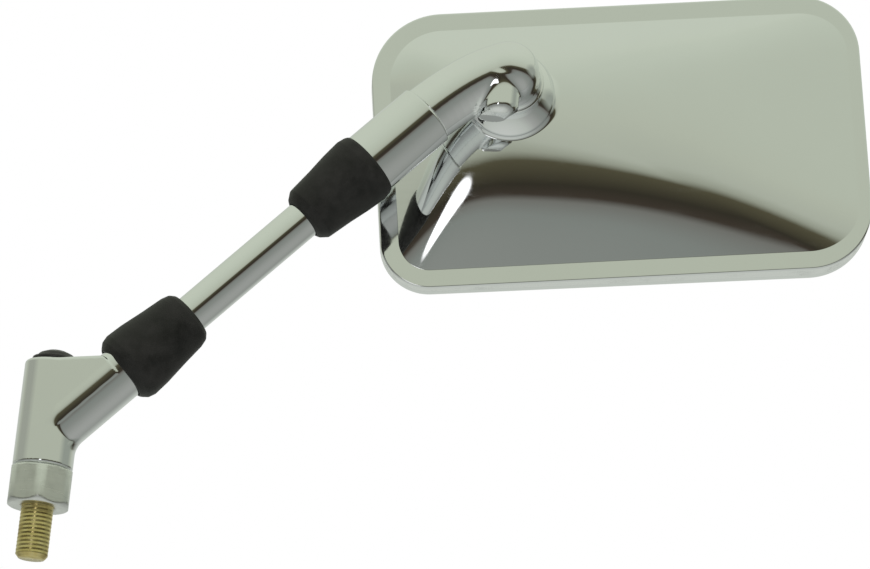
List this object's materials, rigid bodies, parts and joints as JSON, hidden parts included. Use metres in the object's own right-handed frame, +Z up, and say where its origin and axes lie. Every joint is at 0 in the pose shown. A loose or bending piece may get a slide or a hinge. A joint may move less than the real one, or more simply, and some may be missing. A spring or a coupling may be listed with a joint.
{
  "type": "motorcycle mirror",
  "caption": "Rectangular chrome rear-view mirror on a slanted stem with two booted ball joints, a swivelling Y-shaped base and a threaded mounting stud.",
  "frame": {"origin": "centre of the lock nut's lower face, on the axis of the mounting stud", "axes": "+Z up along the mounting stud, +X the side that the stem leans towards, +Y the way the mirror glass faces"},
  "size_m": [0.2575, 0.0488, 0.2149],
  "materials": {
    "plated_steel": "yellow zinc plating",
    "nut_steel": "bright zinc plating",
    "spring_steel": "plain steel, lightly oiled",
    "chrome": "polished chrome plating",
    "black_plastic": "black moulded plastic",
    "seat_plastic": "natural acetal",
    "boot_rubber": "matt black rubber",
    "mirror_glass": "silvered glass"
  },
  "bodies": {
    "mount": {"mount_bolt": "plated_steel", "lock_nut": "nut_steel"},
    "base": {"base_casting": "chrome", "base_cap": "black_plastic"},
    "lower_collar": {"lower_socket_nut": "spring_steel", "lower_ball_seat": "seat_plastic", "lower_spring": "spring_steel", "lower_boot": "boot_rubber"},
    "rod": {"stem_rod": "chrome", "lower_ball_stud": "spring_steel", "upper_ball_stud": "spring_steel"},
    "upper_collar": {"upper_socket_nut": "spring_steel", "upper_ball_seat": "seat_plastic", "upper_spring": "spring_steel", "upper_boot": "boot_rubber"},
    "arm": {"arm_socket": "chrome", "knuckle": "chrome", "pivot_stud": "spring_steel", "spherical_washer": "spring_steel", "pivot_spring": "spring_steel", "flat_washer": "spring_steel", "pivot_nut": "spring_steel"},
    "roll_liner": {"hub_liner": "black_plastic"},
    "tilt_liner": {"inner_liner": "seat_plastic"},
    "head": {"back_shell": "chrome", "glass_carrier": "black_plastic", "glass_pad": "boot_rubber", "glass": "mirror_glass", "gasket": "boot_rubber", "front_frame": "chrome"}
  },
  "joints": [
    {"name": "base_swivel", "type": "hinge", "parent": "mount", "child": "base", "pos_m": [0, 0, 0.012], "axis": [0, 0, 1], "continuous": true},
    {"name": "lower_turn", "type": "hinge", "parent": "base", "child": "lower_collar", "pos_m": [0.02692, 0, 0.05189], "axis": [0.673, 0, 0.7396], "range_deg": [-90, 90]},
    {"name": "lower_tilt", "type": "hinge", "parent": "lower_collar", "child": "rod", "pos_m": [0.02692, 0, 0.05189], "axis": [0, -1, 0], "range_deg": [-15, 15], "deforming": ["lower_boot"]},
    {"name": "upper_tilt", "type": "hinge", "parent": "rod", "child": "upper_collar", "pos_m": [0.08413, 0, 0.11475], "axis": [0, -1, 0], "range_deg": [-15, 15], "deforming": ["upper_boot"]},
    {"name": "upper_turn", "type": "hinge", "parent": "upper_collar", "child": "arm", "pos_m": [0.08413, 0, 0.11475], "axis": [0.673, 0, 0.7396], "range_deg": [-90, 90]},
    {"name": "head_roll", "type": "hinge", "parent": "arm", "child": "roll_liner", "pos_m": [0.13022, 0.028, 0.15353], "axis": [0, 1, 0], "range_deg": [-90, 90]},
    {"name": "head_tilt", "type": "hinge", "parent": "roll_liner", "child": "tilt_liner", "pos_m": [0.13022, 0.028, 0.15353], "axis": [0.9881, 0, 0.1538], "range_deg": [-8, 8]},
    {"name": "head_pan", "type": "hinge", "parent": "tilt_liner", "child": "head", "pos_m": [0.13022, 0.028, 0.15353], "axis": [-0.1538, 0, 0.9881], "range_deg": [-8, 8]}
  ]
}
